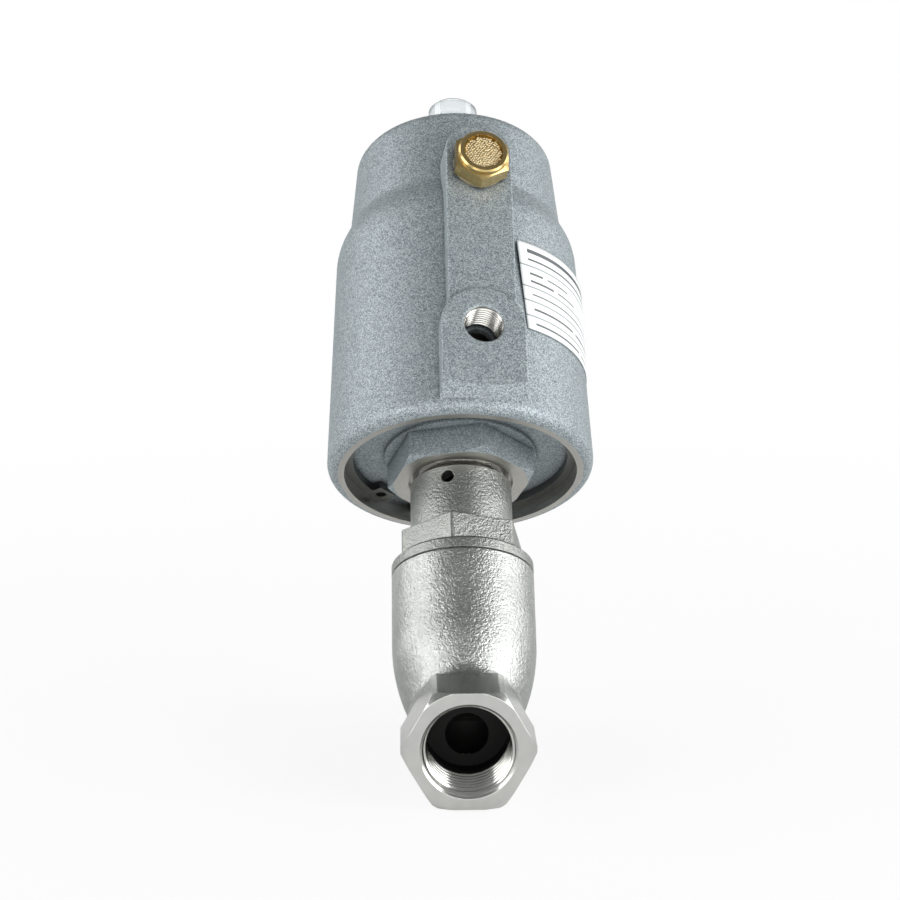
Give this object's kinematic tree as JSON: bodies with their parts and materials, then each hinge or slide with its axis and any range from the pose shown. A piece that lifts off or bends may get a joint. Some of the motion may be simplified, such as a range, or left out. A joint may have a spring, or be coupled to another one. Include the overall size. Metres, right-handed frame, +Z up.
{
  "type": "angle seat valve",
  "caption": "Pneumatic angle seat valve with a slanted piston actuator, threaded pipe ends, a clear position indicator cap and a brass vent silencer.",
  "frame": {"origin": "on the pipe axis where the inlet thread starts, just inside the inlet face", "axes": "-Y out of the inlet port, +Y towards the outlet, +Z up, so the actuator leans back and up"},
  "size_m": [0.0656, 0.1453, 0.1504],
  "materials": {
    "cast_stainless": "blasted investment casting",
    "turned_stainless": "turned",
    "ground_stainless": "ground",
    "spring_steel": "drawn wire",
    "ptfe": "moulded",
    "brass": "turned",
    "bronze_bush": "sintered",
    "sintered_bronze": "sintered grains",
    "graphite_gasket": "pressed graphite",
    "rubber": "moulded",
    "metallic_paint": "sprayed metallic paint",
    "blackened_steel": "blackened",
    "aluminium": "turned",
    "indicator_plastic": "moulded",
    "clear_plastic": "polished clear",
    "fibre_washer": "punched",
    "label_film": "printed film"
  },
  "bodies": {
    "valve": {"valve_body": "cast_stainless", "body_gasket": "graphite_gasket", "bonnet": "turned_stainless", "packing_spring": "spring_steel", "packing_washer": "turned_stainless", "packing_rings": "ptfe", "gland_nut": "brass", "cover": "turned_stainless", "stem_o_ring": "rubber", "guide_bush": "bronze_bush", "cover_o_ring": "rubber"},
    "stem_assembly": {"stem": "ground_stainless", "disc": "turned_stainless", "disc_seal": "ptfe", "disc_nut": "turned_stainless", "piston": "aluminium", "piston_o_ring": "rubber", "piston_lip_seal": "rubber", "piston_guide_ring": "ptfe", "piston_washer": "turned_stainless", "piston_nut": "turned_stainless", "main_spring": "spring_steel", "indicator_rod": "indicator_plastic"},
    "actuator": {"casing": "metallic_paint", "circlip": "blackened_steel", "indicator_cap": "clear_plastic", "cap_o_ring": "rubber", "silencer_body": "brass", "silencer_disc": "sintered_bronze", "silencer_washer": "fibre_washer", "label": "label_film"}
  },
  "joints": [
    {"name": "stem_slide", "type": "slide", "parent": "valve", "child": "stem_assembly", "axis": [0, 0.6428, 0.766], "range_m": [0, 0.011], "stiffness_N_per_m": 20000, "springref_m": -0.03, "deforming": ["main_spring"]},
    {"name": "actuator_swivel", "type": "hinge", "parent": "valve", "child": "actuator", "pos_m": [0, 0.02658, 0], "axis": [0, 0.6428, 0.766], "continuous": true}
  ]
}
